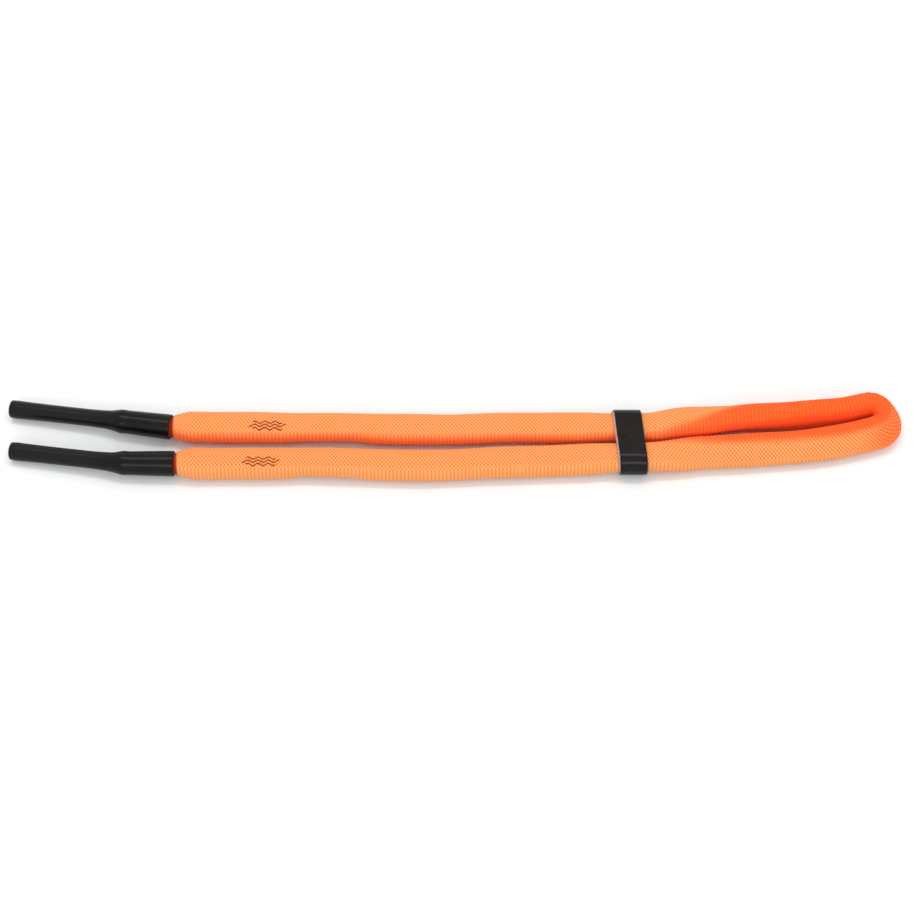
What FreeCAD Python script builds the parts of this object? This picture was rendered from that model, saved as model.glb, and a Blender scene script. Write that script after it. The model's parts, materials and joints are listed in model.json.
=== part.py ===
"""Eyeglass retainer strap, folded in half and lying on its back.

X runs along the strap from the two temple tubes (-X) to the folded loop (+X), Y across the two legs, Z up.
The origin is on the supporting surface, under the middle of the strap. All sizes are in millimetres.
"""

import math
import os

import FreeCAD
import Part
from FreeCAD import Placement, Rotation, Vector

# Strap: a knitted sleeve filled with a foam core, laid as two legs side by side.
STRAND_WIDTH = 10.2
STRAND_THICKNESS = 7.2
STRAND_SPACING = 12.2
SQUARENESS = 2.5
SLEEVE_WALL = 0.8
MIDLINE_Y = -2.1

# Keeper: a flat rubber band round both legs, with a pale lining.
KEEPER_LENGTH = 9.9
KEEPER_X = 58.8
KEEPER_CLEARANCE = 0.3
BAND_WALL = 0.5
LINING_WALL = 0.3
BAND_CUT_SLANT = 0.45
EMBLEM_RADIUS = 2.5
EMBLEM_RING = 0.3
EMBLEM_DEPTH = 0.15

# Loop: past the keeper the legs lean over, inner edges up, and turn back round an arc between two headings. The
# front leg comes into the turn leaning, and the rear leg leaves it standing on edge.
LOOP_START_X = 66.0
SETTLE_LENGTH = 20.0
TIP_X = 150.3
TURN_Y = 5.6
TURN_FROM = math.radians(10.5)
TURN_TO = math.radians(185.0)
ROLL_IN = 58.0
ROLL_OUT = 90.0

# Leg pivots, where each leg bends away from the loop part.
LEG_PIVOT_X = -53.0
LEG_KNUCKLE_RADIUS = 5.3
LEG_SEAT_GAP = 0.3
LEG_SEAT_SETBACK = 2.6

# End fittings: sleeve neck, plug, whipping, and the rubber tube in two stretches, its socket and its free length.
SHOULDER_LENGTH = 6.5
SHOULDER_END_RADIUS = 3.3
NECK_RADIUS = 3.1
NECK_BORE_RADIUS = 2.35
NECK_LENGTH = 9.0
SOCKET_LENGTH = 16.5
SOCKET_MOUTH_RADIUS = 4.25
SOCKET_WAIST_RADIUS = 3.95
SOCKET_BORE_RADIUS = 3.6
SOCKET_BORE_DEPTH = 10.5
SOCKET_EDGE = 0.4
WHIPPING_START = 2.0
WHIPPING_TURNS = 6
THREAD_DIAMETER = 0.8
PLUG_SHANK_RADIUS = 1.7
PLUG_BARB_RADIUS = 2.3
PLUG_BARBS = 3
PLUG_BARB_PITCH = 2.5
PLUG_FLANGE_RADIUS = 3.4
PLUG_FLANGE_THICKNESS = 1.2
PLUG_TAIL_RADIUS = 1.2
PLUG_TAIL_LENGTH = 3.0
TUBE_RADIUS = 3.0
TUBE_BORE_RADIUS = 1.9
TUBE_LENGTH = 38.2
TUBE_BORE_DEPTH = 33.0
TUBE_LIP = 0.45
KNUCKLE_GAP = 0.35
KNUCKLE_SETBACK = 1.2

# Each side: where the sleeve's neck enters its tube socket, how far the socket and the tube turn towards +Y, and
# how its leg lies past the keeper: X and Y of its middle, and its roll in degrees.
SIDES = {
    "front": {
        "across": -1,
        "mouth": (-92.4, -10.9),
        "socket_yaw": 0.8,
        "tube_yaw": 9.3,
        "lie": [(83, -6.6, 30), (99.5, -5.35, 35), (116, -4.15, 38), (130, -2.35, 48)],
    },
    "rear": {
        "across": 1,
        "mouth": (-94.67, 4.08),
        "socket_yaw": 8.2,
        "tube_yaw": 9.6,
        "lie": [(76, 6.0, 35), (83, 7.3, 60), (96, 7.8, 85), (116, 9.2, 90), (130, 10.7, 90)],
    },
}

QUARTER_STEPS = 4
LOOP_STEPS = 16
TURN_STEPS = 12
LEG_STEPS = 5
SHOULDER_STEPS = 4

HALF_WIDTH = STRAND_WIDTH / 2
HALF_THICKNESS = STRAND_THICKNESS / 2
BAND_TOTAL = BAND_WALL + LINING_WALL
STRAND_LIFT = BAND_TOTAL + KEEPER_CLEARANCE
STRAND_Z = STRAND_LIFT + HALF_THICKNESS
TURN_RADIUS = STRAND_SPACING / 2
TUBE_DROOP = math.asin((STRAND_Z - TUBE_RADIUS) / TUBE_LENGTH)


def smooth(share):
    """An even ease from 0 to 1."""
    share = min(1.0, max(0.0, share))
    return share * share * (3 - 2 * share)


def section(centre, heading, roll, half_width, half_thickness, squareness=SQUARENESS):
    """A strand's rounded outline across the heading; the roll lifts the edge on the heading's left."""
    side = Vector(-math.sin(heading), math.cos(heading), 0)
    up = Vector(0, 0, 1)
    across = side * math.cos(roll) + up * math.sin(roll)
    top = up * math.cos(roll) - side * math.sin(roll)
    corners = [across, top, -across, -top]
    quarters = []
    for i in range(4):
        first, second = corners[i], corners[(i + 1) % 4]
        reach_first = half_width if i % 2 == 0 else half_thickness
        reach_second = half_thickness if i % 2 == 0 else half_width
        points = []
        for j in range(QUARTER_STEPS + 1):
            angle = math.pi / 2 * j / QUARTER_STEPS
            along_first = reach_first * abs(math.cos(angle)) ** (2 / squareness)
            along_second = reach_second * abs(math.sin(angle)) ** (2 / squareness)
            points.append(centre + first * along_first + second * along_second)
        even = [j / QUARTER_STEPS for j in range(QUARTER_STEPS + 1)]
        quarter = Part.BSplineCurve()
        quarter.interpolate(Points=points, InitialTangent=second, FinalTangent=-first, Parameters=even)
        quarters.append(quarter.toShape())
    return Part.Wire(quarters)


def reach(roll):
    """How far a strand with this roll reaches below its middle."""
    power = SQUARENESS / (SQUARENESS - 1)
    edge = HALF_WIDTH * abs(math.sin(roll))
    flat = HALF_THICKNESS * abs(math.cos(roll))
    return (edge**power + flat**power) ** (1 / power)


def rolled_height(roll, x):
    """The height of the strand's middle: lifted by the keeper's wall beside it, on the surface further along."""
    return reach(roll) + STRAND_LIFT * (1 - smooth((x - LOOP_START_X) / SETTLE_LENGTH))


def turn_roll(heading):
    """The strand's roll where the loop turns back, at a heading."""
    share = (heading - TURN_FROM) / (TURN_TO - TURN_FROM)
    return math.radians(ROLL_IN + (ROLL_OUT - ROLL_IN) * share**2)


TURN_X = TIP_X - TURN_RADIUS - reach(math.pi / 2 - turn_roll(math.pi / 2))


def through(knots, x, first_slope, last_slope):
    """(value, slope) at x on a smooth curve through (X, value) knots, with the slope given at both ends."""
    slopes = [first_slope]
    for before, after in zip(knots, knots[2:]):
        slopes.append((after[1] - before[1]) / (after[0] - before[0]))
    slopes.append(last_slope)
    i = 0
    while i < len(knots) - 2 and x > knots[i + 1][0]:
        i += 1
    span = knots[i + 1][0] - knots[i][0]
    rise = knots[i + 1][1] - knots[i][1]
    t = (x - knots[i][0]) / span
    value = knots[i][1] + rise * (3 * t**2 - 2 * t**3)
    value += span * (slopes[i] * (t**3 - 2 * t**2 + t) + slopes[i + 1] * (t**3 - t**2))
    slope = rise / span * (6 * t - 6 * t**2)
    slope += slopes[i] * (3 * t**2 - 4 * t + 1) + slopes[i + 1] * (3 * t**2 - 2 * t)
    return value, slope


def turn_point(heading):
    """The middle of the strand where the loop turns back, at a heading."""
    return TURN_X + TURN_RADIUS * math.sin(heading), TURN_Y - TURN_RADIUS * math.cos(heading)


def leg_stations(side):
    """(centre, heading, roll) of one leg of the loop part, from its pivot to where the loop turns back."""
    rear = side["across"] > 0
    leg_y = MIDLINE_Y + side["across"] * STRAND_SPACING / 2
    end_heading = TURN_TO - math.pi if rear else TURN_FROM
    end_x, end_y = turn_point(TURN_TO if rear else TURN_FROM)
    end_roll = ROLL_OUT if rear else ROLL_IN
    places = [(LOOP_START_X, leg_y)] + [(x, y) for x, y, _ in side["lie"]] + [(end_x, end_y)]
    rolls = [(LOOP_START_X, 0)] + [(x, roll) for x, _, roll in side["lie"]] + [(end_x, end_roll)]
    back = math.pi if rear else 0
    stations = [(Vector(LEG_PIVOT_X + LEG_SEAT_SETBACK, leg_y, STRAND_Z), back, 0)]
    for i in range(LOOP_STEPS + 1):
        x = LOOP_START_X + (end_x - LOOP_START_X) * i / LOOP_STEPS
        y, slope = through(places, x, 0, math.tan(end_heading))
        roll = math.radians(min(ROLL_OUT, through(rolls, x, 0, 0)[0]))
        stations.append((Vector(x, y, rolled_height(roll, x)), math.atan(slope) + back, roll))
    return stations


def turn_stations():
    """Stations of the arc where the loop turns back."""
    stations = []
    for i in range(1, TURN_STEPS):
        heading = TURN_FROM + (TURN_TO - TURN_FROM) * i / TURN_STEPS
        roll = turn_roll(heading)
        stations.append((Vector(*turn_point(heading), reach(roll)), heading, roll))
    return stations


def loop_solid(inset):
    """Both legs from their pivots round the loop, as one solid set in from the sleeve's outside."""
    front, rear = SIDES["front"], SIDES["rear"]
    stations = leg_stations(front) + turn_stations() + leg_stations(rear)[::-1]
    size = (HALF_WIDTH - inset, HALF_THICKNESS - inset)
    solid = Part.makeLoft([section(*station, *size) for station in stations], True, True)
    for side in (front, rear):
        solid = solid.cut(pivot_cylinder(side, LEG_KNUCKLE_RADIUS + LEG_SEAT_GAP))
    return solid


def pivot_point(side):
    return Vector(LEG_PIVOT_X, MIDLINE_Y + side["across"] * STRAND_SPACING / 2, STRAND_Z)


def pivot_cylinder(side, radius):
    base = pivot_point(side) - Vector(0, 0, STRAND_WIDTH)
    return Part.makeCylinder(radius, 2 * STRAND_WIDTH, base)


def knuckle_waste(side):
    """What is cut off a leg's end to round it about its pivot."""
    corner = pivot_point(side) - Vector(0, STRAND_WIDTH, STRAND_WIDTH)
    block = Part.makeBox(STRAND_WIDTH, 2 * STRAND_WIDTH, 2 * STRAND_WIDTH, corner)
    return block.cut(pivot_cylinder(side, LEG_KNUCKLE_RADIUS))


def mouth_point(side):
    return Vector(side["mouth"][0], side["mouth"][1], STRAND_Z)


def leg_path(side, share):
    """Place and heading along a leg, from its pivot (0) to the tube socket's mouth (1)."""
    start, end = pivot_point(side), mouth_point(side)
    yaw = math.radians(side["socket_yaw"])
    reach = (end - start).Length
    leave = Vector(-reach, 0, 0)
    arrive = Vector(-reach * math.cos(yaw), reach * math.sin(yaw), 0)
    t, t2, t3 = share, share**2, share**3
    place = start * (2 * t3 - 3 * t2 + 1) + leave * (t3 - 2 * t2 + t)
    place += end * (3 * t2 - 2 * t3) + arrive * (t3 - t2)
    slope = (start - end) * (6 * t2 - 6 * t) + leave * (3 * t2 - 4 * t + 1) + arrive * (3 * t2 - 2 * t)
    return place, math.atan2(slope.y, slope.x)


def leg_solid(side, inset, tapered):
    """One leg set in from the sleeve's outside: rounded at its pivot, and tapered or blunt at its shoulder."""
    size = (HALF_WIDTH - inset, HALF_THICKNESS - inset)
    shoulder = 1 - SHOULDER_LENGTH / (mouth_point(side) - pivot_point(side)).Length
    knuckle_end = pivot_point(side) + Vector(LEG_KNUCKLE_RADIUS + LEG_SEAT_GAP, 0, 0)
    wires = [section(knuckle_end, math.pi, 0, *size)]
    for i in range(LEG_STEPS + 1):
        place, heading = leg_path(side, shoulder * i / LEG_STEPS)
        wires.append(section(place, heading, 0, *size))
    solid = Part.makeLoft(wires + (shoulder_wires(side, shoulder) if tapered else []), True, True)
    return solid.cut(knuckle_waste(side))


def shoulder_wires(side, start):
    """Outlines of the sleeve as it is drawn in from its full section to its round neck."""
    wires = []
    for i in range(1, SHOULDER_STEPS + 1):
        share = i / SHOULDER_STEPS
        place, heading = leg_path(side, start + (1 - start) * share)
        drawn = smooth(share)
        half_width = HALF_WIDTH + (SHOULDER_END_RADIUS - HALF_WIDTH) * drawn
        half_thickness = HALF_THICKNESS + (SHOULDER_END_RADIUS - HALF_THICKNESS) * drawn
        squareness = SQUARENESS + (2 - SQUARENESS) * drawn
        wires.append(section(place, heading, 0, half_width, half_thickness, squareness))
    return wires


def end_placement(side):
    """The end fitting's own frame: its X axis runs out of the sleeve, from the tube socket's mouth."""
    heading = Rotation(Vector(0, 0, 1), 180 - side["socket_yaw"])
    return Placement(mouth_point(side), heading)


def tube_placement(side):
    """The temple tube's own frame: its X axis runs from the knuckle's middle to the open end."""
    fitting = end_placement(side)
    knuckle = fitting.multVec(Vector(SOCKET_LENGTH + KNUCKLE_SETBACK, 0, 0))
    heading = Rotation(Vector(0, 0, 1), 180 - side["tube_yaw"])
    droop = Rotation(Vector(0, 1, 0), math.degrees(TUBE_DROOP))
    return Placement(knuckle, heading.multiply(droop))


def turned(profile):
    """A solid of revolution about X from (x, radius) points."""
    points = [Vector(x, r, 0) for x, r in profile]
    face = Part.Face(Part.makePolygon(points + [points[0]]))
    return face.revolve(Vector(0, 0, 0), Vector(1, 0, 0), 360)


def rod(radius, start, length):
    return Part.makeCylinder(radius, length, Vector(start, 0, 0), Vector(1, 0, 0))


def placed(shape, placement):
    return shape.transformed(placement.toMatrix())


def sleeve_leg(side):
    fitting = end_placement(side)
    overlap = SHOULDER_LENGTH / 2
    neck = placed(rod(NECK_RADIUS, -overlap, NECK_LENGTH + overlap), fitting)
    bore = placed(rod(NECK_BORE_RADIUS, -SHOULDER_LENGTH - overlap, NECK_LENGTH + 3 * overlap + 1), fitting)
    return leg_solid(side, 0, True).fuse(neck).cut(bore.fuse(core_leg(side)))


def core_leg(side):
    return leg_solid(side, SLEEVE_WALL, False)


def plug():
    """A barbed plug: its shank holds the sleeve's neck, its flange the neck's end, its tail the socket."""
    profile = [(0.6, 0), (0.6, PLUG_SHANK_RADIUS)]
    for i in range(PLUG_BARBS):
        start = 1.2 + i * PLUG_BARB_PITCH
        profile += [(start, PLUG_SHANK_RADIUS), (start + 1.6, PLUG_BARB_RADIUS)]
        profile += [(start + 1.9, PLUG_BARB_RADIUS), (start + 1.9, PLUG_SHANK_RADIUS)]
    flange_start = SOCKET_BORE_DEPTH - PLUG_FLANGE_THICKNESS
    tail_end = SOCKET_BORE_DEPTH + PLUG_TAIL_LENGTH
    profile += [(flange_start, PLUG_SHANK_RADIUS), (flange_start, PLUG_FLANGE_RADIUS)]
    profile += [(SOCKET_BORE_DEPTH, PLUG_FLANGE_RADIUS), (SOCKET_BORE_DEPTH, PLUG_TAIL_RADIUS)]
    profile += [(tail_end, PLUG_TAIL_RADIUS), (tail_end, 0)]
    return turned(profile)


def whipping():
    """Thread wound round the sleeve's neck, each turn flattened against the next."""
    bead = THREAD_DIAMETER / 2
    crest = NECK_RADIUS + bead
    root = NECK_RADIUS + bead / 2
    profile = [(WHIPPING_START, NECK_RADIUS), (WHIPPING_START, root)]
    for i in range(WHIPPING_TURNS):
        start = WHIPPING_START + i * THREAD_DIAMETER
        profile += [(start + bead / 2, crest), (start + 3 * bead / 2, crest), (start + 2 * bead, root)]
    profile += [(WHIPPING_START + WHIPPING_TURNS * THREAD_DIAMETER, NECK_RADIUS)]
    return turned(profile)


def tube_socket():
    """The tube's stretched end: a socket for the neck at one end, a round seat for the tube at the other."""
    edge = SOCKET_EDGE
    profile = [(0, 0), (0, SOCKET_MOUTH_RADIUS - edge), (edge, SOCKET_MOUTH_RADIUS)]
    profile += [(SOCKET_LENGTH - edge, SOCKET_WAIST_RADIUS), (SOCKET_LENGTH, SOCKET_WAIST_RADIUS - edge / 2)]
    profile += [(SOCKET_LENGTH, 0)]
    solid = turned(profile)
    solid = solid.cut(rod(SOCKET_BORE_RADIUS, 0, SOCKET_BORE_DEPTH))
    solid = solid.cut(rod(PLUG_TAIL_RADIUS, SOCKET_BORE_DEPTH, PLUG_TAIL_LENGTH))
    return solid.cut(knuckle_cylinder(TUBE_RADIUS + KNUCKLE_GAP, SOCKET_LENGTH + KNUCKLE_SETBACK))


def knuckle_cylinder(radius, x):
    """An upright cylinder round the line that the tube bends about."""
    return Part.makeCylinder(radius, 4 * TUBE_RADIUS, Vector(x, 0, -2 * TUBE_RADIUS))


def temple_tube():
    """The soft tube that takes the temple: a rounded knuckle at its socket, a rounded lip at the open end."""
    tube = rod(TUBE_RADIUS, 0, TUBE_LENGTH)
    tube = tube.fuse(rod(TUBE_RADIUS, -TUBE_RADIUS, 2 * TUBE_RADIUS).common(knuckle_cylinder(TUBE_RADIUS, 0)))
    tube = tube.removeSplitter().cut(rod(TUBE_BORE_RADIUS, TUBE_LENGTH - TUBE_BORE_DEPTH, TUBE_BORE_DEPTH))
    rims = []
    for edge in tube.Edges:
        middle = edge.BoundBox.Center.x
        if abs(middle - TUBE_LENGTH) < 0.01 and edge.BoundBox.XLength < 0.01:
            rims.append(edge)
    return tube.makeFillet(TUBE_LIP, rims)


def band_outline(x, outset):
    """A stadium across X, round the space that both legs take, grown by outset."""
    half_height = HALF_THICKNESS + KEEPER_CLEARANCE + outset
    half_width = STRAND_SPACING / 2 + HALF_WIDTH + KEEPER_CLEARANCE + outset
    flat = half_width - half_height
    corners = [Vector(x, MIDLINE_Y + sy * flat, STRAND_Z + sz * half_height)
               for sy, sz in ((-1, -1), (1, -1), (1, 1), (-1, 1))]
    right = Vector(x, MIDLINE_Y + half_width, STRAND_Z)
    left = Vector(x, MIDLINE_Y - half_width, STRAND_Z)
    edges = [Part.LineSegment(corners[0], corners[1]), Part.Arc(corners[1], right, corners[2])]
    edges += [Part.LineSegment(corners[2], corners[3]), Part.Arc(corners[3], left, corners[0])]
    return Part.Wire([edge.toShape() for edge in edges])


def band_layer(inner, outer):
    """A layer of the keeper between two outsets; its left cut edge slants, so that it shows from above."""
    start = KEEPER_X - KEEPER_LENGTH / 2
    slant = BAND_CUT_SLANT / BAND_TOTAL
    outside = Part.Face(band_outline(start + slant * outer, outer))
    inside = Part.Face(band_outline(start, inner))
    layer = outside.extrude(Vector(KEEPER_LENGTH - BAND_CUT_SLANT, 0, 0))
    return layer.cut(inside.extrude(Vector(2 * KEEPER_LENGTH, 0, 0)))


def keeper_band():
    """The black outer layer, with a plain ring and dot pressed into its top."""
    band = band_layer(LINING_WALL, BAND_TOTAL)
    top = STRAND_Z + HALF_THICKNESS + KEEPER_CLEARANCE + BAND_TOTAL
    base = Vector(KEEPER_X + 1.2, MIDLINE_Y, top - EMBLEM_DEPTH)
    ring = Part.makeCylinder(EMBLEM_RADIUS, 1, base)
    ring = ring.cut(Part.makeCylinder(EMBLEM_RADIUS - EMBLEM_RING, 1, base))
    dot = Part.makeCylinder(2 * EMBLEM_RING, 1, base)
    return band.cut(ring).cut(dot)


def keeper_lining():
    return band_layer(0, LINING_WALL)


def build():
    nodes = {
        "loop_core": loop_solid(SLEEVE_WALL),
        "keeper_band": keeper_band(),
        "keeper_lining": keeper_lining(),
    }
    nodes["loop_sleeve"] = loop_solid(0).cut(nodes["loop_core"])
    for name, side in SIDES.items():
        fitting = end_placement(side)
        nodes[f"{name}_leg_sleeve"] = sleeve_leg(side)
        nodes[f"{name}_leg_core"] = core_leg(side)
        nodes[f"{name}_neck_whipping"] = placed(whipping(), fitting)
        nodes[f"{name}_barbed_plug"] = placed(plug(), fitting)
        nodes[f"{name}_tube_socket"] = placed(tube_socket(), fitting)
        nodes[f"{name}_temple_tube"] = placed(temple_tube(), tube_placement(side))
    return nodes


def main():
    os.makedirs("parts", exist_ok=True)
    for name, shape in build().items():
        box = shape.optimalBoundingBox()
        shape.exportStep(f"parts/{name}.step")
        print(f"{name:22s} solids {len(shape.Solids)} valid {shape.isValid()} volume {shape.Volume:9.2f}"
              f"  x {box.XMin:8.2f} {box.XMax:8.2f}  y {box.YMin:7.2f} {box.YMax:7.2f}"
              f"  z {box.ZMin:6.2f} {box.ZMax:6.2f}")


main()
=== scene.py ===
"""Looks of a folded eyeglass retainer strap: knitted sleeve, rubber temple tubes and keeper band.

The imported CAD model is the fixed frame. Sizes in this file are in millimetres and places come from the
frame's boxes and joints; every mesh is turned to metres as it is made. Light is in watts, colours are linear.
"""

import json
import math

import bpy
import numpy as np
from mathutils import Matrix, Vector


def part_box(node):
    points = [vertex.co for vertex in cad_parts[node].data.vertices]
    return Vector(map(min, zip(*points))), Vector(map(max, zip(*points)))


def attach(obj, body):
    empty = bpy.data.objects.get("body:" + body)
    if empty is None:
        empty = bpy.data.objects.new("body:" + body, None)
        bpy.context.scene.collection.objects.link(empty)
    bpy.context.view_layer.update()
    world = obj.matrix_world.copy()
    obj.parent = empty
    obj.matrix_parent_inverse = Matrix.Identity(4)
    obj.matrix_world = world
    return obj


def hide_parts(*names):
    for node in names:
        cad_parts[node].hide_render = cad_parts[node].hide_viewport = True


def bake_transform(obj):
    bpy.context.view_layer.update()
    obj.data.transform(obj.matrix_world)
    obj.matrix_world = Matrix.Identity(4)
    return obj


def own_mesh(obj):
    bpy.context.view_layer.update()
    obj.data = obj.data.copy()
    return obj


MM = 0.001
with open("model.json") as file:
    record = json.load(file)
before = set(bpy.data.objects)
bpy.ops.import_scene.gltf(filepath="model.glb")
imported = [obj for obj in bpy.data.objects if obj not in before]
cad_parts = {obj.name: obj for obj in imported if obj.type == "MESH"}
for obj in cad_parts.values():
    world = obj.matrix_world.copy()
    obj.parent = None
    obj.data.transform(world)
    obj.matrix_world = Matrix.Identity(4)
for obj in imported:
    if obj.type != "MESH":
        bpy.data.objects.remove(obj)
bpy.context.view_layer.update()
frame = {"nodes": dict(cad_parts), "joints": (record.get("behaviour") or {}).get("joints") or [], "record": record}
joints = {joint["name"]: joint for joint in frame["joints"]}

# Strap: the sleeve's size where it lies free, and where the keeper and the loop hold it in.
FREE_WIDTH = 10.9
FREE_THICKNESS = 7.7
HELD_WIDTH = 10.2
HELD_THICKNESS = 7.2
SQUARENESS = 2.5
SLEEVE_WALL = 0.8
FREE_LIFT = 0.3
NECK_RADIUS = 3.5
COLLAR_RADIUS = 4.2
COLLAR_LENGTH = 1.7
SHOULDER_LENGTH = 7.0
NECK_DEPTH = 3.0

# Loop: past the keeper the legs lean over, inner edges up, by ROLL_OUT degrees at most, and turn back round
# an arc between two headings.
LOOP_START_PAST_KEEPER = 7.2
SETTLE_LENGTH = 20.0
TIP_PAST_CAD = 0.4
TURN_RADIUS = 5.4
TURN_Y = 6.7
TURN_FROM = math.radians(20.0)
TURN_TO = math.radians(190.0)
TURN_ROLLS = [(20, 46), (55, 46), (100, 58), (150, 78), (190, 88)]
ROLL_OUT = 90.0

# How full the sleeve is in the loop, against a free leg, and how much more past the tip and in the rear.
LOOP_FULLNESS = 1.35
TIP_FULLNESS = 0.15
REAR_FULLNESS = 1.4

# Knit: stitch pitch along the strap, stitch rows round it, how far stitches stand out, and the mesh that
# holds them; and the coarser mesh of the foam inside.
STITCH_PITCH = 1.24
ROWS_AROUND = 20
STITCH_RELIEF = 0.045
STATIONS_PER_STITCH = 6
SECTION_POINTS = 96
FOAM_STEP = 1.0
FOAM_SECTION_POINTS = 32

# Unevenness: gathers drawn in at each neck, and folds on the inner edge where the strap turns back.
GATHERS_AROUND = 14
GATHER_HEIGHT = 0.05
FOLD_PITCH = 2.1
FOLD_HEIGHT = 0.30

# End fittings.
SOCKET_REACH = 17.7
TUBE_REACH = 38.2
TUBE_RADIUS = 3.0
TUBE_BORE_RADIUS = 1.9
TUBE_BORE_DEPTH = 33.0
BEND_REACH = 4.0

# Keeper: its clearance round the legs, how far its outside stands off its inside, how far its cut edges run
# askew, and the points round it.
BAND_CLEARANCE = 0.3
BAND_OUTSET = 0.82
BAND_SKEW = -0.065
BAND_POINTS = 240

# Keeper along its slide: how far its pinch reaches and eases at the slide's end, and how far inside its left
# edge it hides the seam there.
PARKED_REACH = 17.0
PARKED_EASE = 10.0
SEAM_INSET = 0.95

# Printed waves on each leg: where their middle is along the leg (X) and round it (share of the outline), how
# far from a print a piece without one counts as, and the waves' length, height and spacing.
MARKS = {"front": (-63.5, 0.31), "rear": (-62.0, 0.19)}
FAR_OFF = 1000.0
WAVE_LENGTH = 3.4
WAVE_HEIGHT = 0.42
WAVE_SPACING = 1.2
PRINT_HALF_LENGTH = 6.3

# Foam: how far the legs' foam stops short of the sleeve's neck and of its seam.
FOAM_PAST_NECK, FOAM_BEFORE_SEAM = 3.0, 2.0

# Where each leg lies, as listed points: (X, Y) from its socket to the keeper, and (X, Y, roll in degrees)
# past it.
SIDES = {
    "front": {
        "socket_yaw": 0.8,
        "tube_yaw": 9.3,
        "leg": [
            (-84, -10.5), (-66, -10.3), (-50, -10.2), (-34, -10.7),
            (-9, -11.1), (16, -10.1), (36, -9.2), (49, -8.5),
        ],
        "loop": [(83, -6.6, 30), (99.5, -5.35, 35), (116, -4.15, 38), (130, -2.0, 44)],
    },
    "rear": {
        "socket_yaw": 8.2,
        "tube_yaw": 9.6,
        "leg": [(-84, 4.3), (-66, 4.3), (-50, 4.1), (-19, 3.5), (-2, 3.5), (16, 4.0), (49, 4.0)],
        "loop": [(76, 5.5, 14), (83, 6.1, 27), (96, 6.9, 58), (110, 7.8, 82), (122, 8.8, 88), (131, 9.9, 88)],
    },
}

# Surround and camera, placed in metres.
SURROUND_STRENGTH = 1.06
CAMERA_AIM = (0.00235, -0.0061, 0)
CAMERA_DISTANCE = 0.685
CAMERA_ELEVATION = math.radians(55)
CAMERA_LENS = 80


def node_box(node):
    low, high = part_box(node)
    return np.array(low) / MM, np.array(high) / MM


def joint_point(name):
    return np.array(joints[name]["pos_m"]) / MM


keeper_low, keeper_high = node_box("keeper_band")
lining_low, lining_high = node_box("keeper_lining")
KEEPER_X = (keeper_low[0] + lining_high[0]) / 2
KEEPER_HALF = (keeper_high[0] - lining_low[0]) / 2
MIDLINE_Y = (keeper_low[1] + keeper_high[1]) / 2
STRAND_Z = joint_point("front_leg_swing")[2]
LEG_OFFSET = joint_point("rear_leg_swing")[1] - MIDLINE_Y
LOOP_START_X = KEEPER_X + LOOP_START_PAST_KEEPER
HELD_LIFT = STRAND_Z - HELD_THICKNESS / 2
TIP_X = node_box("loop_sleeve")[1][0] + TIP_PAST_CAD
KEEPER_TRAVEL = -joints["keeper_slide"]["range_m"][0] / MM
PARKED_X = KEEPER_X - KEEPER_TRAVEL
SEAM_X = PARKED_X - KEEPER_HALF + SEAM_INSET


def smooth(share):
    """An even ease from 0 to 1."""
    share = np.clip(share, 0.0, 1.0)
    return share * share * (3 - 2 * share)


def curve_through(points, x, first_slope=0.0, last_slope=0.0):
    """Values at x on a smooth curve through (x, value) points, with the slope given at both ends."""
    px, py = np.array(points, float).T
    slope = np.empty(len(px))
    slope[1:-1] = (py[2:] - py[:-2]) / (px[2:] - px[:-2])
    slope[0], slope[-1] = first_slope, last_slope
    i = np.clip(np.searchsorted(px, x) - 1, 0, len(px) - 2)
    span = px[i + 1] - px[i]
    t = (x - px[i]) / span
    rise = py[i] * (2 * t**3 - 3 * t**2 + 1) + py[i + 1] * (3 * t**2 - 2 * t**3)
    return rise + span * (slope[i] * (t**3 - 2 * t**2 + t) + slope[i + 1] * (t**3 - t**2))


def flex_point(side):
    return joint_point(f"{side}_tube_flex")


def mouth_point(side):
    """The middle of the socket's mouth, where the sleeve's neck goes in."""
    yaw = math.radians(SIDES[side]["socket_yaw"])
    return flex_point(side) + SOCKET_REACH * np.array([math.cos(yaw), -math.sin(yaw), 0])


def reach(roll, half_width=HELD_WIDTH / 2, half_thickness=HELD_THICKNESS / 2):
    """How far a strand with this roll reaches below its middle."""
    power = SQUARENESS / (SQUARENESS - 1)
    edge = (half_width * np.abs(np.sin(roll))) ** power
    flat = (half_thickness * np.abs(np.cos(roll))) ** power
    return (edge + flat) ** (1 / power)


def turn_roll(heading):
    """The strand's roll, in degrees, where the loop turns back, at a heading."""
    return curve_through(TURN_ROLLS, np.degrees(heading))


tip_lean = math.radians(90 - turn_roll(math.pi / 2))
TURN_X = TIP_X - TURN_RADIUS - reach(tip_lean, FREE_WIDTH / 2, FREE_THICKNESS / 2)


def turn_line(step=0.1):
    """X, Y and roll where the loop turns back."""
    heading = np.arange(TURN_FROM, TURN_TO, step / TURN_RADIUS)
    x = TURN_X + TURN_RADIUS * np.sin(heading)
    y = TURN_Y - TURN_RADIUS * np.cos(heading)
    return np.column_stack([x, y, turn_roll(heading)])


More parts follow.
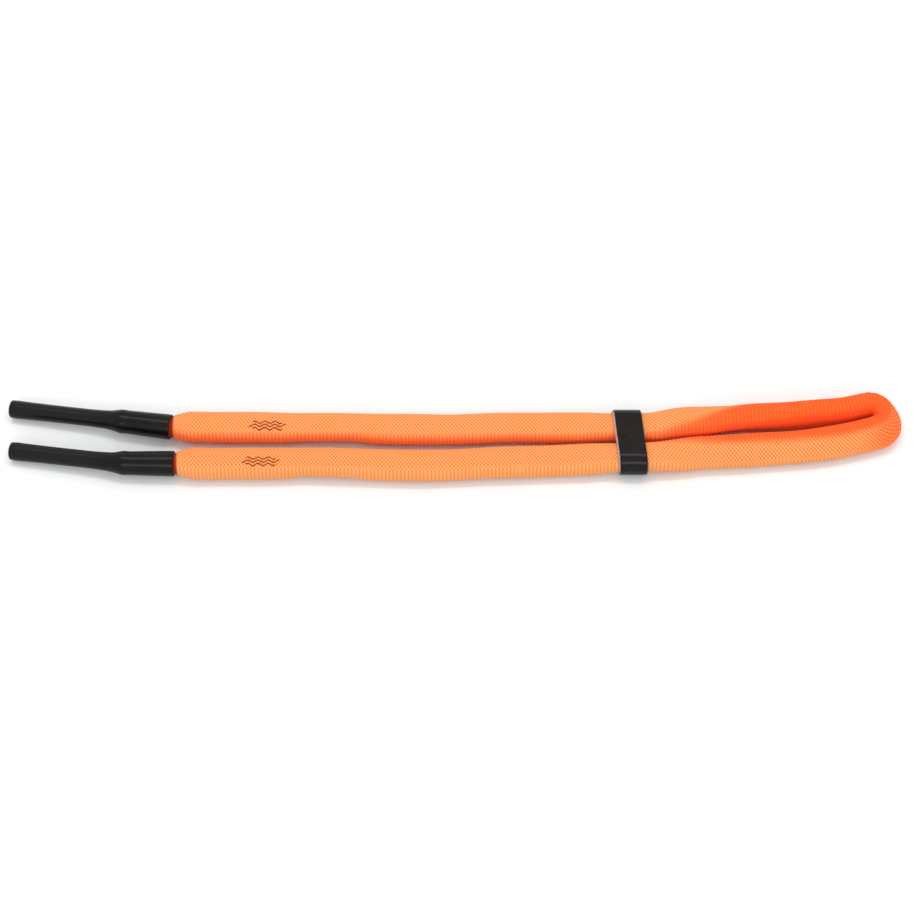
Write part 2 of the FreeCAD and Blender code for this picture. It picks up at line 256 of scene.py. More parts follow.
def leg_line(side, step=0.1):
    """X, Y and roll along one leg, from inside its socket to where the loop turns back."""
    rear = side == "rear"
    mouth = mouth_point(side)
    yaw = math.radians(SIDES[side]["socket_yaw"])
    leg_y = joint_point(f"{side}_leg_swing")[1]
    inside = mouth - NECK_DEPTH * np.array([math.cos(yaw), -math.sin(yaw), 0])
    ends = [tuple(inside[:2]), tuple(mouth[:2])]
    near_knots = ends + SIDES[side]["leg"] + [(KEEPER_X, leg_y), (LOOP_START_X, leg_y)]
    turn = turn_line()
    turn_x, turn_y, roll_at_turn = turn[-1] if rear else turn[0]
    end_slope = math.tan(TURN_TO - math.pi if rear else TURN_FROM)
    loop = SIDES[side]["loop"]
    far_knots = [(LOOP_START_X, leg_y)] + [(x, y) for x, y, _ in loop] + [(turn_x, turn_y)]
    rolls = [(LOOP_START_X, 0)] + [(x, roll) for x, _, roll in loop] + [(turn_x, roll_at_turn)]
    x = np.arange(inside[0], turn_x, step)
    near_y = curve_through(near_knots, x, -math.tan(yaw))
    far_y = curve_through(far_knots, x, 0.0, end_slope)
    roll = np.clip(curve_through(rolls, x), 0, ROLL_OUT)
    past = x > LOOP_START_X
    return np.column_stack([x, np.where(past, far_y, near_y), np.where(past, roll, 0.0)])


class Strap:
    """The strap's line from the front socket round the loop to the rear socket, and its section all along."""

    def __init__(self):
        line = np.vstack([leg_line("front"), turn_line(), leg_line("rear")[::-1]])
        length = np.concatenate([[0], np.cumsum(np.hypot(*np.diff(line[:, :2], axis=0).T))])
        self.s = np.arange(0, length[-1], 0.1)
        self.x, self.y, roll = (np.interp(self.s, length, line[:, i]) for i in range(3))
        heading = np.unwrap(np.arctan2(np.gradient(self.y, self.s), np.gradient(self.x, self.s)))
        self.heading = self.smoothed(heading, 15)
        self.roll = np.radians(self.smoothed(roll, 31))
        self.tip = float(self.s[np.argmax(self.x)])
        self.rear = self.s > self.tip
        self.mouths = (self.where(mouth_point("front")[0], False), self.where(mouth_point("rear")[0], True))
        into = np.minimum(self.s - self.mouths[0], self.mouths[1] - self.s)
        short_of_keeper = KEEPER_X - KEEPER_HALF - self.x
        parked = smooth((PARKED_REACH - np.abs(self.x - PARKED_X)) / PARKED_EASE)
        free = smooth(short_of_keeper / 12) * (1 - parked)
        free += self.fullness() * smooth((self.x - LOOP_START_X + 3) / 20)
        half_width = (HELD_WIDTH + (FREE_WIDTH - HELD_WIDTH) * free) / 2
        half_thickness = (HELD_THICKNESS + (FREE_THICKNESS - HELD_THICKNESS) * free) / 2
        lift = HELD_LIFT + (FREE_LIFT - HELD_LIFT) * smooth(short_of_keeper / 14) * (1 - parked)
        lift *= 1 - smooth((self.x - LOOP_START_X) / SETTLE_LENGTH)
        self.z = reach(self.roll, half_width, half_thickness) + lift
        self.z += (STRAND_Z - self.z) * smooth(1 - into / 14)
        collar = smooth((into - 0.5) / (COLLAR_LENGTH - 0.5))
        drawn = smooth((into - 0.8) / (SHOULDER_LENGTH - 0.8))
        neck = NECK_RADIUS + (COLLAR_RADIUS - NECK_RADIUS) * collar
        self.half_width = neck + (half_width - COLLAR_RADIUS) * drawn
        self.half_thickness = neck + (half_thickness - COLLAR_RADIUS) * drawn
        self.squareness = 2 + (SQUARENESS - 2) * drawn
        self.shoulder = 1 - drawn
        self.neck = 1 - collar

    @staticmethod
    def smoothed(values, count):
        """A running mean over count samples."""
        return np.convolve(np.pad(values, count // 2, mode="edge"), np.ones(count) / count, mode="valid")

    def fullness(self):
        """How full the sleeve is in the loop, where 1 is a free leg's fullness."""
        past_tip = self.s - self.tip
        past_turn = smooth((past_tip - 35) / 20)
        return LOOP_FULLNESS + TIP_FULLNESS * smooth(0.5 + past_tip / 40) + REAR_FULLNESS * past_turn

    def where(self, x, rear):
        """Length along the strap at which its front or rear leg passes x."""
        on = self.rear if rear else ~self.rear
        return float(self.s[on][np.argmin(np.abs(self.x[on] - x))])

    def at(self, s):
        """Everything about the strap at lengths s."""
        names = ["x", "y", "z", "heading", "roll"]
        names += ["half_width", "half_thickness", "squareness", "shoulder", "neck"]
        return {name: np.interp(s, self.s, getattr(self, name)) for name in names}


strap = Strap()
seam_front = strap.where(SEAM_X, False)
seam_rear = strap.where(SEAM_X, True)
stitches = round((seam_rear - seam_front) / STITCH_PITCH)
stitch_pitch = (seam_rear - seam_front) / stitches


def outline_lengths():
    """Angles round the sleeve's rounded outline, and the length along it up to each."""
    angle = np.linspace(0, 2 * math.pi, 4001)
    power = 2 / SQUARENESS
    across = FREE_WIDTH / 2 * np.sign(np.cos(angle)) * np.abs(np.cos(angle)) ** power
    top = FREE_THICKNESS / 2 * np.sign(np.sin(angle)) * np.abs(np.sin(angle)) ** power
    return angle, np.concatenate([[0], np.cumsum(np.hypot(np.diff(across), np.diff(top)))])


OUTLINE_ANGLE, OUTLINE_SO_FAR = outline_lengths()
OUTLINE_LENGTH = OUTLINE_SO_FAR[-1]


def section_angles(count):
    """Angles that space points evenly round the sleeve's rounded outline."""
    return np.interp(np.arange(count) / count * OUTLINE_LENGTH, OUTLINE_SO_FAR, OUTLINE_ANGLE)


def stitch_height(u, v, edge, turn):
    """Relief of the knit, -1 to 1: slanted stitches on the faces, ribs over the edges, rows at the turn."""
    along, around = 2 * math.pi * u, 2 * math.pi * v
    face = 0.6 * np.cos(along - around) + 0.4 * np.cos(along + around)
    rib = np.cos(along)
    rows = np.cos(around)
    woven = face * (1 - edge) + 0.32 * rib * edge
    return woven * (1 - 0.7 * turn) + rows * 0.9 * turn


def grid_mesh(name, points, uv=None, closed_ends=False):
    """A mesh on a grid of points (stations, round, 3), closed round each station."""
    stations, round_count, _ = points.shape
    index = np.arange(stations * round_count).reshape(stations, round_count)
    ahead = np.roll(index, -1, axis=1)
    quads = np.stack([index[:-1], ahead[:-1], ahead[1:], index[1:]], axis=-1).reshape(-1, 4)
    mesh = bpy.data.meshes.new(name)
    faces = quads.tolist()
    if closed_ends:
        faces += [index[0][::-1].tolist(), index[-1].tolist()]
    mesh.from_pydata((points.reshape(-1, 3) * MM).tolist(), [], faces)
    for label, grid in (uv or {}).items():
        layer = mesh.uv_layers.new(name=label)
        corners = np.stack([grid[:-1, :-1], grid[:-1, 1:], grid[1:, 1:], grid[1:, :-1]], axis=2)
        values = np.zeros((len(mesh.loops), 2))
        values[: corners.size // 2] = corners.reshape(-1, 2)
        layer.data.foreach_set("uv", values.ravel())
    mesh.polygons.foreach_set("use_smooth", [True] * len(mesh.polygons))
    mesh.validate()
    mesh.update()
    piece = bpy.data.objects.new(name, mesh)
    bpy.context.scene.collection.objects.link(piece)
    return piece


def strap_piece(name, start, end, inset=0.0):
    """A stretch of the sleeve, or of the foam inside it when it is set in from the sleeve's outside."""
    knitted = inset == 0
    pitch = stitch_pitch / STATIONS_PER_STITCH if knitted else FOAM_STEP
    count = round((end - start) / pitch) + 1
    s = np.linspace(start, end, count)[:, None]
    here = {key: value[:, None] for key, value in strap.at(s[:, 0]).items()}
    points_round = SECTION_POINTS if knitted else FOAM_SECTION_POINTS
    angle = section_angles(points_round)[None, :]
    cosine, sine = np.cos(angle), np.sin(angle)
    power = 2 / here["squareness"]
    half_width = here["half_width"] - inset
    half_thickness = here["half_thickness"] - inset
    across = half_width * np.sign(cosine) * np.abs(cosine) ** power
    top = half_thickness * np.sign(sine) * np.abs(sine) ** power
    normal_across = np.sign(cosine) * np.abs(cosine) ** (2 - power) / half_width
    normal_top = np.sign(sine) * np.abs(sine) ** (2 - power) / half_thickness
    size = np.hypot(normal_across, normal_top)
    normal_across, normal_top = normal_across / size, normal_top / size
    if knitted:
        out = relief(s, angle, here)
        across = across + normal_across * out
        top = top + normal_top * out
    cos_h, sin_h = np.cos(here["heading"]), np.sin(here["heading"])
    cos_r, sin_r = np.cos(here["roll"]), np.sin(here["roll"])
    side_reach = across * cos_r - top * sin_r
    x = here["x"] - sin_h * side_reach
    y = here["y"] + cos_h * side_reach
    z = here["z"] + across * sin_r + top * cos_r
    uv = strap_uv(name, s, points_round) if knitted else None
    return grid_mesh(name, np.stack([x, y, z], axis=-1), uv, closed_ends=not knitted)


def strap_uv(name, s, points_round):
    """Knit: stitches and rows. Mark: mm from a print's middle. Place: mm from the socket and from the tip."""
    share = np.arange(points_round + 1)[None, :] / points_round
    side = name.split("_")[0]
    along, around = s * 0 + FAR_OFF, share * 0
    if name == f"{side}_leg_knit":
        mark_x, mark_share = MARKS[side]
        along = s - strap.where(mark_x, side == "rear")
        around = (share - mark_share) * OUTLINE_LENGTH
    from_socket = np.minimum(s - strap.mouths[0], strap.mouths[1] - s)
    layers = {
        "Knit": ((s - seam_front) / stitch_pitch, share * ROWS_AROUND),
        "Mark": (along, around),
        "Place": (from_socket, np.abs(s - strap.tip) + 0 * share),
    }
    return {label: np.stack(np.broadcast_arrays(*pair), axis=-1) for label, pair in layers.items()}


def relief(s, angle, here):
    """How far the sleeve's surface stands out: stitches, gathers at the neck, and folds where it turns."""
    u = (s - seam_front) / stitch_pitch
    v = np.arange(angle.shape[1])[None, :] / angle.shape[1] * ROWS_AROUND
    edge = smooth((np.abs(np.cos(angle)) - 0.55) / 0.35)
    past_tip = s - strap.tip
    turn = smooth(1 - (np.abs(past_tip - 1) - 7) / 9) * smooth(0.6 - np.cos(angle))
    shoulder = here["shoulder"]
    out = STITCH_RELIEF * stitch_height(u, v, edge, turn) * (1 - here["neck"])
    out = out + 0.05 * np.cos(2 * math.pi * v) * turn
    gathered = smooth(shoulder * 2) * smooth((1 - shoulder) * 4)
    out = out + GATHER_HEIGHT * np.cos(GATHERS_AROUND * angle) * gathered
    inner = smooth(1.5 * np.cos(angle) - 0.5)
    folding = smooth(1 - (np.abs(past_tip - 2) - 6) / 6) * inner
    fold = np.abs(np.sin(math.pi * past_tip / FOLD_PITCH + 0.6 * np.sin(2 * angle)))
    out = out + FOLD_HEIGHT * folding * (fold - 0.7)
    slow = 0.10 * np.sin(s / 9.0 + 1.3 * np.cos(angle)) + 0.07 * np.sin(s / 4.3 + 2.0 * np.sin(angle))
    return out + slow * (1 - shoulder)


def fitting_points(side):
    """The middle of the socket's mouth, the flex point, and the middle of the tube's open end."""
    mouth, flex = mouth_point(side), flex_point(side)
    yaw = math.radians(SIDES[side]["tube_yaw"])
    droop = math.asin((STRAND_Z - TUBE_RADIUS) / TUBE_REACH)
    out = np.array([-math.cos(yaw) * math.cos(droop), math.sin(yaw) * math.cos(droop), -math.sin(droop)])
    return mouth, flex, flex + TUBE_REACH * out


def end_line(side, t):
    """Place and direction at length t from the mouth: straight, an easy bend at the flex point, straight."""
    mouth, flex, end = fitting_points(side)
    first = (flex - mouth) / np.linalg.norm(flex - mouth)
    second = (end - flex) / np.linalg.norm(end - flex)
    bend = BEND_REACH
    share = np.clip((t - (SOCKET_REACH - bend)) / (2 * bend), 0, 1)[:, None]
    heading = first * (1 - share) + second * share
    heading /= np.linalg.norm(heading, axis=1)[:, None]
    before = np.minimum(t, SOCKET_REACH - bend)[:, None] * first
    within = 2 * bend * (first * (share - share**2 / 2) + second * share**2 / 2)
    after = np.maximum(t - (SOCKET_REACH + bend), 0)[:, None] * second
    return mouth + before + within + after, heading


def end_profile():
    """The fitting's (length, radius) outline: rolled mouth, socket, waist, tube, rounded lip, bore."""
    length = SOCKET_REACH + TUBE_REACH
    last = length - 0.45
    knots = [(0.4, 4.25), (3, 4.22), (8, 4.12), (12.5, 4.02), (15, 3.97), (17, 4.06), (18.5, 3.78)]
    knots += [(20.4, 3.36), (23, 3.12), (27.5, 2.96), (35, 2.92), (44, 2.94), (51, 3.02), (53.6, 3.08)]
    knots += [(last, 3.02)]
    t = np.concatenate([np.arange(0.4, last, 0.35), [last]])
    outside = np.column_stack([t, curve_through(knots, t)])
    mouth = [(NECK_DEPTH, 3.3), (1.2, 3.5), (0.45, 3.66), (0.12, 3.84), (0.0, 4.0), (0.08, 4.14)]
    lip = [(length - 0.18, 2.9), (length - 0.04, 2.74), (length, 2.55)]
    lip += [(length - 0.02, 2.2), (length - 0.2, 2.0)]
    bore = [(length - 0.7, TUBE_BORE_RADIUS), (length - TUBE_BORE_DEPTH, TUBE_BORE_RADIUS)]
    bottom = [(length - TUBE_BORE_DEPTH - 0.4, 0.02)]
    return np.vstack([mouth, outside, lip, bore, bottom])


def end_rubber(side):
    """The rubber end: one skin from the socket's mouth over the tube and back into its bore."""
    profile = end_profile()
    place, heading = end_line(side, profile[:, 0])
    up = np.array([0, 0, 1.0])
    left = np.cross(up, heading)
    left /= np.linalg.norm(left, axis=1)[:, None]
    over = np.cross(heading, left)
    angle = np.arange(64) / 64 * 2 * math.pi
    ring = left[:, None, :] * np.cos(angle)[None, :, None] + over[:, None, :] * np.sin(angle)[None, :, None]
    points = place[:, None, :] + ring * profile[:, 1][:, None, None]
    along = np.broadcast_to(profile[:, 0][:, None], (len(profile), len(angle) + 1))
    place_uv = {"Place": np.stack([along, 0 * along], axis=-1)}
    piece = grid_mesh(f"{side}_end_rubber", points[:, ::-1], place_uv)
    paint(piece, "tube_rubber")
    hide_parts(f"{side}_tube_socket", f"{side}_temple_tube")
    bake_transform(piece)


def band_point(t, outset):
    """Y and Z from the keeper's middle, at a share t round it, where it stands outset past its inside."""
    flat = LEG_OFFSET + HELD_WIDTH / 2 - HELD_THICKNESS / 2
    core = HELD_THICKNESS / 2 + BAND_CLEARANCE
    arc, run = math.pi * core, 2 * flat
    length = np.mod(t, 1.0) * 2 * (arc + run)
    in_top = length < run
    in_left = (length >= run) & (length < run + arc)
    in_bottom = (length >= run + arc) & (length < 2 * run + arc)
    parts = [in_top, in_left, in_bottom]
    turn = np.where(in_left, (length - run) / core, (length - 2 * run - arc) / core)
    radius = core + outset
    outward, upward = radius * np.sin(turn), radius * np.cos(turn)
    y = np.select(parts, [flat - length, -flat - outward, length - run - arc - flat], flat + outward)
    z = np.select(parts, [radius + 0 * length, upward, -radius + 0 * length], -upward)
    return y, z


def band_swell(x):
    """How much taller the band stands between its cut edges."""
    return 1 + 0.02 * np.cos((x - KEEPER_X) / KEEPER_HALF * math.pi / 2)


def band_dip(x, y):
    """How far the band's top sinks between the two strands."""
    return 0.22 * np.exp(-((y / 3.5) ** 2)) * (1 - ((x - KEEPER_X) / 9) ** 2)


def band_top(x, y):
    """Height of the band's outside on top at a place."""
    across = y - MIDLINE_Y
    cut = x - BAND_SKEW * across
    flat_top = HELD_THICKNESS / 2 + BAND_CLEARANCE + BAND_OUTSET
    return STRAND_Z + flat_top * band_swell(cut) - band_dip(cut, across)


def band_mesh(name, inner, outer, left_cut, right_cut, rounding):
    """A layer of the keeper: an outline from inner to outer, between two cut edges."""
    r = rounding
    profile = [(left_cut, inner + r), (left_cut, outer - r), (left_cut + 0.3 * r, outer - 0.3 * r)]
    profile += [(left_cut + r, outer)]
    profile += [(x, outer) for x in np.arange(left_cut + 0.9, right_cut - 0.6, 0.5)]
    profile += [(right_cut - r, outer), (right_cut - 0.3 * r, outer - 0.3 * r), (right_cut, outer - r)]
    profile += [(right_cut, inner + r), (right_cut - r, inner), (left_cut + r, inner)]
    cut, outset = np.array(profile).T[:, :, None]
    t = np.arange(BAND_POINTS)[None, :] / BAND_POINTS
    y, z = band_point(t, outset)
    x = cut + BAND_SKEW * y
    z = z * band_swell(cut) - band_dip(cut, y) * (z > 0)
    points = np.stack([x, y + MIDLINE_Y, z + STRAND_Z], axis=-1)
    points = np.concatenate([points, points[:1]], axis=0)
    return grid_mesh(name, points)


def keeper():
    """The keeper: a rubber band over a pale lining, and a plain ring and dot moulded on top."""
    left, right = KEEPER_X - KEEPER_HALF + 0.1, KEEPER_X + KEEPER_HALF - 0.1
    band = band_mesh("keeper_band_skin", 0.32, BAND_OUTSET, left + 0.5, right, 0.16)
    lining = band_mesh("keeper_lining_skin", 0.0, 0.34, left, right - 0.25, 0.08)
    emblem = keeper_emblem(((left + right) / 2 + 0.2, MIDLINE_Y - 0.6))
    layers = [(band, "keeper_rubber", "keeper_band"), (lining, "keeper_lining", "keeper_lining")]
    for piece, slot, node in layers:
        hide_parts(node)
        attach(piece, "keeper")
        paint(piece, slot)
    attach(emblem, "keeper")
    paint(emblem, "keeper_rubber")


def keeper_emblem(middle):
    """A low moulded ring with a dot in it, lying on the band's top."""
    ring = [(2.62, -0.3), (2.6, 0.08), (2.5, 0.2), (2.3, 0.21), (2.12, 0.08), (2.05, -0.02)]
    dot = [(0.95, -0.02), (0.9, 0.08), (0.7, 0.2), (0.35, 0.23), (0.01, 0.23)]
    radius, height = np.array(ring + dot).T[:, :, None]
    angle = np.arange(48) / 48 * 2 * math.pi
    x = middle[0] + radius * np.cos(angle)
    y = middle[1] + radius * np.sin(angle)
    z = band_top(x, y) + height
    return grid_mesh("keeper_emblem", np.stack([x, y, z], axis=-1))


# --- materials ---------------------------------------------------------------------------------------------

KNIT_CREST = (0.70, 0.365, 0.135, 1)
KNIT_CREST_DEEP = (0.70, 0.325, 0.110, 1)
# Stitch gaps: a deeper colour that is painted shade in the knit's recesses.
KNIT_GAP_SHADED = (0.80, 0.130, 0.022, 1)
# Painted shade for crests and gaps on the inner edges, lower sides, loop and tip.
KNIT_SHADED_CREST = (0.96, 0.092, 0.012, 1)
KNIT_SHADED_GAP = (0.94, 0.056, 0.006, 1)
KNIT_SHEEN = (1.0, 0.62, 0.35, 1)
PRINT_RED = (0.16, 0.012, 0.004, 1)
# A ring of painted shade where the sleeve's neck goes into the socket.
NECK_SHADE_RED = (0.24, 0.012, 0.003, 1)
KEEPER_BLACK = (0.006, 0.004, 0.0035)
TUBE_BLACK = (0.003, 0.0025, 0.002)
STRETCHED_BLACK = (0.006, 0.006, 0.0055)
FOAM_LIGHT, FOAM_DARK = (0.93, 0.90, 0.84), (0.84, 0.80, 0.72)
LINING_LIGHT, LINING_DARK = (0.46, 0.30, 0.27), (0.38, 0.23, 0.20)
THREAD_LIGHT, THREAD_DARK = (0.28, 0.02, 0.02), (0.16, 0.01, 0.01)
PLUG_LIGHT, PLUG_DARK = (0.72, 0.71, 0.68), (0.66, 0.65, 0.62)
PAPER_COOL, PAPER = (0.77, 0.785, 0.785, 1), (0.79, 0.805, 0.805, 1)


class Nodes:
    """A short way to write node materials."""

    def __init__(self, name):
        self.material = bpy.data.materials.new(name)
        self.material.use_nodes = True
        self.tree = self.material.node_tree
        self.tree.nodes.clear()
        self.output = self.tree.nodes.new("ShaderNodeOutputMaterial")
        self.shader = self.tree.nodes.new("ShaderNodeBsdfPrincipled")
        self.tree.links.new(self.shader.outputs[0], self.output.inputs["Surface"])

    def put(self, socket, value):
        if isinstance(value, bpy.types.NodeSocket):
            self.tree.links.new(value, socket)
        elif value is not None:
            socket.default_value = value

    def math(self, operation, first, second=None):
        node = self.tree.nodes.new("ShaderNodeMath")
        node.operation = operation
        self.put(node.inputs[0], first)
        self.put(node.inputs[1], second)
        return node.outputs[0]

    def falling(self, value, low, high):
        """1 up to low, easing to 0 at high."""
        return self.math("SUBTRACT", 1.0, self.ease(value, low, high))

    def ease(self, value, low, high):
        node = self.tree.nodes.new("ShaderNodeMapRange")
        node.interpolation_type = "SMOOTHSTEP"
        self.put(node.inputs["Value"], value)
        node.inputs["From Min"].default_value = low
        node.inputs["From Max"].default_value = high
        return node.outputs[0]

    def mix(self, share, first, second):
        node = self.tree.nodes.new("ShaderNodeMix")
        node.data_type = "RGBA"
        self.put(node.inputs["Factor"], share)
        self.put(node.inputs["A"], first)
        self.put(node.inputs["B"], second)
        return node.outputs["Result"]

    def noise(self, scale, detail=3.0, roughness=0.5):
        node = self.tree.nodes.new("ShaderNodeTexNoise")
        node.inputs["Scale"].default_value = scale
        node.inputs["Detail"].default_value = detail
        node.inputs["Roughness"].default_value = roughness
        self.put(node.inputs["Vector"], self.tree.nodes.new("ShaderNodeTexCoord").outputs["Object"])
        return node.outputs["Fac"]

    def uv(self, name):
        node = self.tree.nodes.new("ShaderNodeUVMap")
        node.uv_map = name
        split = self.tree.nodes.new("ShaderNodeSeparateXYZ")
        self.tree.links.new(node.outputs[0], split.inputs[0])
        return split.outputs[0], split.outputs[1]

    def bump(self, height, distance):
        node = self.tree.nodes.new("ShaderNodeBump")
        node.inputs["Strength"].default_value = 1.0
        node.inputs["Distance"].default_value = distance * MM
        self.put(node.inputs["Height"], height)
        self.put(self.shader.inputs["Normal"], node.outputs[0])

    def set(self, **values):
        for name, value in values.items():
            self.put(self.shader.inputs[name.replace("_", " ")], value)


def knit_stitches(n, round_angle):
    """Where the stitches' crests are, 0 to 1: slanted stitches on the faces and ribs over the edges."""
    u, v = n.uv("Knit")
    along = n.math("MULTIPLY", u, 2 * math.pi)
    around = n.math("MULTIPLY", v, 2 * math.pi)
    slant = n.math("COSINE", n.math("SUBTRACT", along, around))
    other = n.math("COSINE", n.math("ADD", along, around))
    face = n.math("ADD", n.math("MULTIPLY", slant, 0.6), n.math("MULTIPLY", other, 0.4))
    rib = n.math("ADD", n.math("MULTIPLY", n.math("COSINE", along), 0.36), 0.06)
    edge = n.ease(n.math("ABSOLUTE", n.math("COSINE", round_angle)), 0.55, 0.9)
    stitch = n.math("ADD", face, n.math("MULTIPLY", edge, n.math("SUBTRACT", rib, face)))
    return n.ease(stitch, -0.8, 0.6)


def knit_painted_shade(n, round_angle, from_tip):
    """How much painted shade the knit gets: on the inner edges and lower sides, over more of the loop, and at the
    tip.
    """
    lower = n.math("MULTIPLY", n.math("SINE", round_angle), 0.8)
    inner = n.math("SUBTRACT", n.math("COSINE", round_angle), lower)
    in_loop = n.falling(from_tip, 52.0, 92.0)
    inner = n.math("ADD", inner, n.math("MULTIPLY", in_loop, 0.55))
    most = n.math("ADD", n.math("MULTIPLY", in_loop, 0.35), 0.65)
    shaded = n.math("MULTIPLY", n.ease(inner, -0.05, 0.85), most)
    at_tip = n.math("MULTIPLY", n.falling(from_tip, 3.0, 17.0), 0.66)
    return n.math("MULTIPLY", n.math("MAXIMUM", shaded, at_tip), 0.9)


def knit_material():
    """Knitted polyester: pale stitch crests, gaps with painted shade, painted shade on the inner edges, lower
    sides, loop and tip, printed waves, and a dark red ring of painted shade at the neck.
    """
    n = Nodes("knit_sleeve")
    round_angle = n.math("MULTIPLY", n.uv("Knit")[1], 2 * math.pi / ROWS_AROUND)
    from_socket, from_tip = n.uv("Place")
    crest = knit_stitches(n, round_angle)
    yarn = n.noise(2600.0, 2.0, 0.7)
    light = n.mix(n.noise(90.0, 2.0), KNIT_CREST, KNIT_CREST_DEEP)
    # The stitch gaps take a deeper colour: painted shade in the knit's recesses.
    colour = n.mix(crest, KNIT_GAP_SHADED, light)
    # Painted shade on the inner edges and lower sides, deepening over the loop and at the tip.
    colour = n.mix(knit_painted_shade(n, round_angle, from_tip), colour, n.mix(crest, KNIT_SHADED_GAP, KNIT_SHADED_CREST))
    # A dark red ring of painted shade at the neck, where it goes into the socket.
    colour = n.mix(n.falling(from_socket, 0.5, 1.45), colour, NECK_SHADE_RED)
    cover = n.math("ADD", 0.8, n.math("MULTIPLY", crest, 0.15))
    colour = n.mix(n.math("MULTIPLY", wave_print(n), cover), colour, PRINT_RED)
    n.set(Base_Color=colour, Roughness=0.9, Specular_IOR_Level=0.1)
    n.set(Sheen_Weight=0.12, Sheen_Roughness=0.5, Sheen_Tint=KNIT_SHEEN)
    n.bump(n.math("ADD", n.math("MULTIPLY", crest, 0.8), n.math("MULTIPLY", yarn, 0.35)), 0.07)
    return n.material


def wave_print(n):
    """Three short wave lines, 1 where there is ink."""
    along, around = n.uv("Mark")
    phase = n.math("MULTIPLY", along, 2 * math.pi / WAVE_LENGTH)
    wave = n.math("MULTIPLY", n.math("SINE", phase), WAVE_HEIGHT)
    off_wave = n.math("SUBTRACT", around, wave)
    line = n.math("PINGPONG", n.math("ADD", off_wave, WAVE_SPACING / 2), WAVE_SPACING / 2)
    ink = n.ease(line, 0.24, 0.42)
    row = n.math("ABSOLUTE", off_wave)
    within_rows = n.falling(row, 1.7, 1.9)
    half_length = n.math("SUBTRACT", PRINT_HALF_LENGTH, n.math("MULTIPLY", row, 1.1))
    within = n.falling(n.math("SUBTRACT", n.math("ABSOLUTE", along), half_length), -0.25, 0.25)
    return n.math("MULTIPLY", ink, n.math("MULTIPLY", within, within_rows))


def rubber_material(name, colour, roughness, grain, pale=None):
    """Moulded rubber: a fine uneven skin with dusty patches, easing to a paler colour along it when asked."""
    n = Nodes(name)
    cloud = n.noise(160.0, 4.0, 0.6)
    pits = n.noise(2400.0, 2.0, 0.5)
    dusty = tuple(min(1.0, c * 1.6 + 0.002) for c in colour) + (1,)
    base = n.mix(n.ease(cloud, 0.45, 0.8), colour + (1,), dusty)
    if pale:
        pale_from, pale_to, pale_colour = pale
        base = n.mix(n.ease(n.uv("Place")[0], pale_from, pale_to), base, pale_colour + (1,))
    n.set(Base_Color=base, Specular_IOR_Level=0.16)
    n.set(Roughness=n.math("ADD", n.math("MULTIPLY", cloud, 0.14), roughness))
    n.bump(pits, grain)
    return n.material


def matt_material(name, light, dark, scale, roughness=0.85, grain=0.03):
    """A matt surface mottled between two close colours."""
    n = Nodes(name)
    cloud = n.noise(scale, 3.0)
    n.set(Base_Color=n.mix(n.ease(cloud, 0.35, 0.65), dark + (1,), light + (1,)), Roughness=roughness)
    n.bump(cloud, grain)
    return n.material


def floor_material():
    n = Nodes("paper_floor")
    cloud = n.noise(3.0, 2.0)
    n.set(Base_Color=n.mix(cloud, PAPER_COOL, PAPER), Roughness=0.9, Specular_IOR_Level=0.0)
    return n.material


materials = {
    "knit_sleeve": knit_material(),
    "foam": matt_material("foam", FOAM_LIGHT, FOAM_DARK, 1200.0),
    "keeper_rubber": rubber_material("keeper_rubber", KEEPER_BLACK, 0.17, 0.008),
    "keeper_lining": matt_material("keeper_lining", LINING_LIGHT, LINING_DARK, 900.0),
    "thread": matt_material("thread", THREAD_LIGHT, THREAD_DARK, 1500.0),
    "plug_plastic": matt_material("plug_plastic", PLUG_LIGHT, PLUG_DARK, 200.0, 0.4, 0.01),
    "tube_rubber": rubber_material("tube_rubber", TUBE_BLACK, 0.19, 0.005, (18.0, 30.0, STRETCHED_BLACK)),
}


def paint(piece, slot):
    piece.data.materials.clear()
    piece.data.materials.append(materials[slot])


def paint_frame():
    """Every CAD node, shown or hidden, gets its slot's material too."""
    for part in frame["record"]["subparts"]:
        paint(frame["nodes"][part["node"]], part["material_slot"])


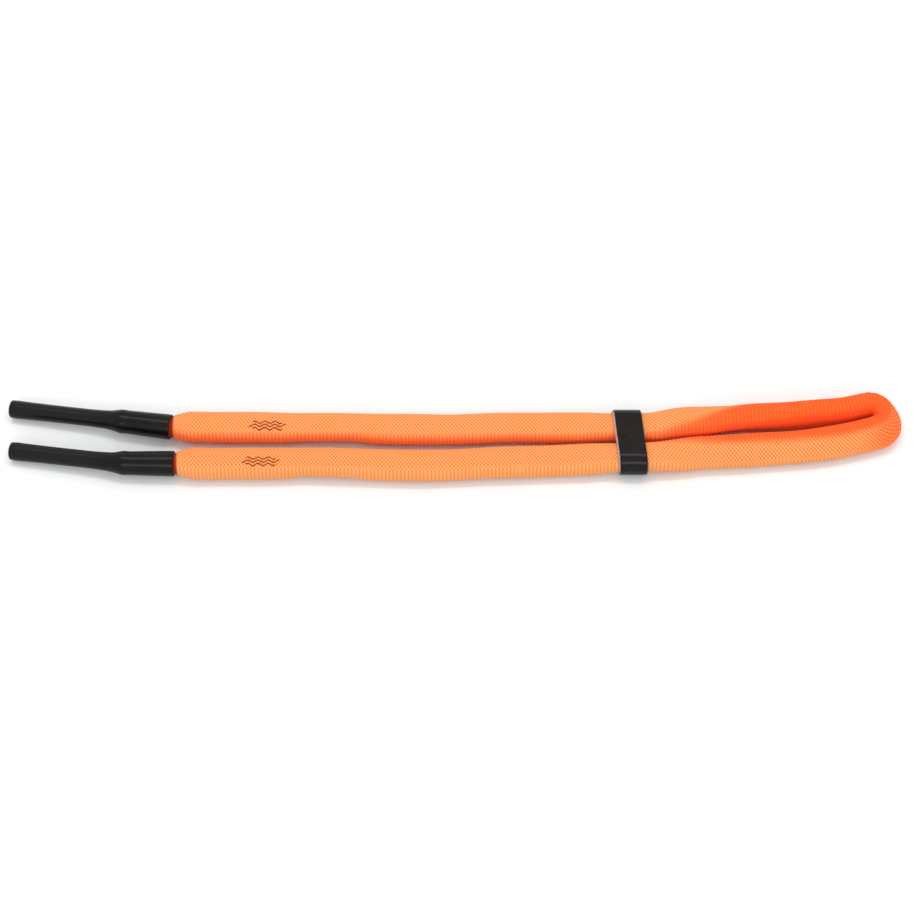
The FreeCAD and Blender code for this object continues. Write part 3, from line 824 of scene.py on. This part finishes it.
def build_strap():
    """The knitted sleeve and its foam, in stretches that follow the joints."""
    under_front = strap.where(KEEPER_X, False)
    under_rear = strap.where(KEEPER_X, True)
    under_front = seam_front + round((under_front - seam_front) / stitch_pitch) * stitch_pitch
    under_rear = seam_rear - round((seam_rear - under_rear) / stitch_pitch) * stitch_pitch
    held = [("front_strand", seam_front, under_front), ("loop_turn", under_front, under_rear)]
    held.append(("rear_strand", under_rear, seam_rear))
    for name, start, end in held:
        knit = strap_piece(f"{name}_knit", start, end)
        foam = strap_piece(f"{name}_foam", start, end, SLEEVE_WALL)
        for piece, slot, node in ((knit, "knit_sleeve", "loop_sleeve"), (foam, "foam", "loop_core")):
            paint(piece, slot)
            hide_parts(node)
            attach(piece, "strap_loop")
            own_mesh(piece)
    for side, start, end in (("front", 0.0, seam_front), ("rear", seam_rear, float(strap.s[-1]))):
        at_neck, at_seam = (start, end) if side == "front" else (end, start)
        inward = 1 if side == "front" else -1
        foam_ends = (at_neck + FOAM_PAST_NECK * inward, at_seam - FOAM_BEFORE_SEAM * inward)
        knit = strap_piece(f"{side}_leg_knit", start, end)
        foam = strap_piece(f"{side}_leg_foam", min(foam_ends), max(foam_ends), SLEEVE_WALL)
        for piece, slot, node in ((knit, "knit_sleeve", "sleeve"), (foam, "foam", "core")):
            paint(piece, slot)
            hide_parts(f"{side}_leg_{node}")
            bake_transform(piece)


def add_softbox(name, place, size, energy):
    """A rectangular light aimed at the strap's middle."""
    lamp = bpy.data.lights.new(name, "AREA")
    lamp.shape = "RECTANGLE"
    lamp.size, lamp.size_y = size
    lamp.energy = energy
    softbox = bpy.data.objects.new(name, lamp)
    softbox.location = place
    softbox.rotation_euler = (-softbox.location).to_track_quat("-Z", "Y").to_euler()
    bpy.context.scene.collection.objects.link(softbox)


def build_stage():
    """White paper, a softbox strip overhead and another in front, an even white surround, and the camera."""
    bpy.ops.mesh.primitive_plane_add(size=6.0, location=(0, 0, 0))
    floor = bpy.context.object
    floor.name = "paper_floor"
    floor.data.materials.append(floor_material())
    scene = bpy.context.scene
    world = bpy.data.worlds.new("surround")
    world.use_nodes = True
    background = world.node_tree.nodes["Background"]
    background.inputs["Color"].default_value = (1, 1, 1, 1)
    background.inputs["Strength"].default_value = SURROUND_STRENGTH
    scene.world = world
    add_softbox("softbox_above", (0.0, 0.24, 1.05), (0.9, 0.14), 3.2)
    add_softbox("softbox_front", (0.0, -0.95, 0.7), (0.9, 0.28), 3.6)
    scene.view_settings.view_transform = "Standard"
    camera = bpy.data.objects.new("camera", bpy.data.cameras.new("camera"))
    camera.data.lens = CAMERA_LENS
    camera.data.sensor_width = 36
    camera.data.clip_start = 0.01
    back = Vector((0, -math.cos(CAMERA_ELEVATION), math.sin(CAMERA_ELEVATION)))
    camera.location = Vector(CAMERA_AIM) + CAMERA_DISTANCE * back
    camera.rotation_euler = (math.pi / 2 - CAMERA_ELEVATION, 0, 0)
    scene.collection.objects.link(camera)
    scene.camera = camera


paint_frame()
build_strap()
end_rubber("front")
end_rubber("rear")
keeper()
build_stage()

bpy.context.view_layer.update()
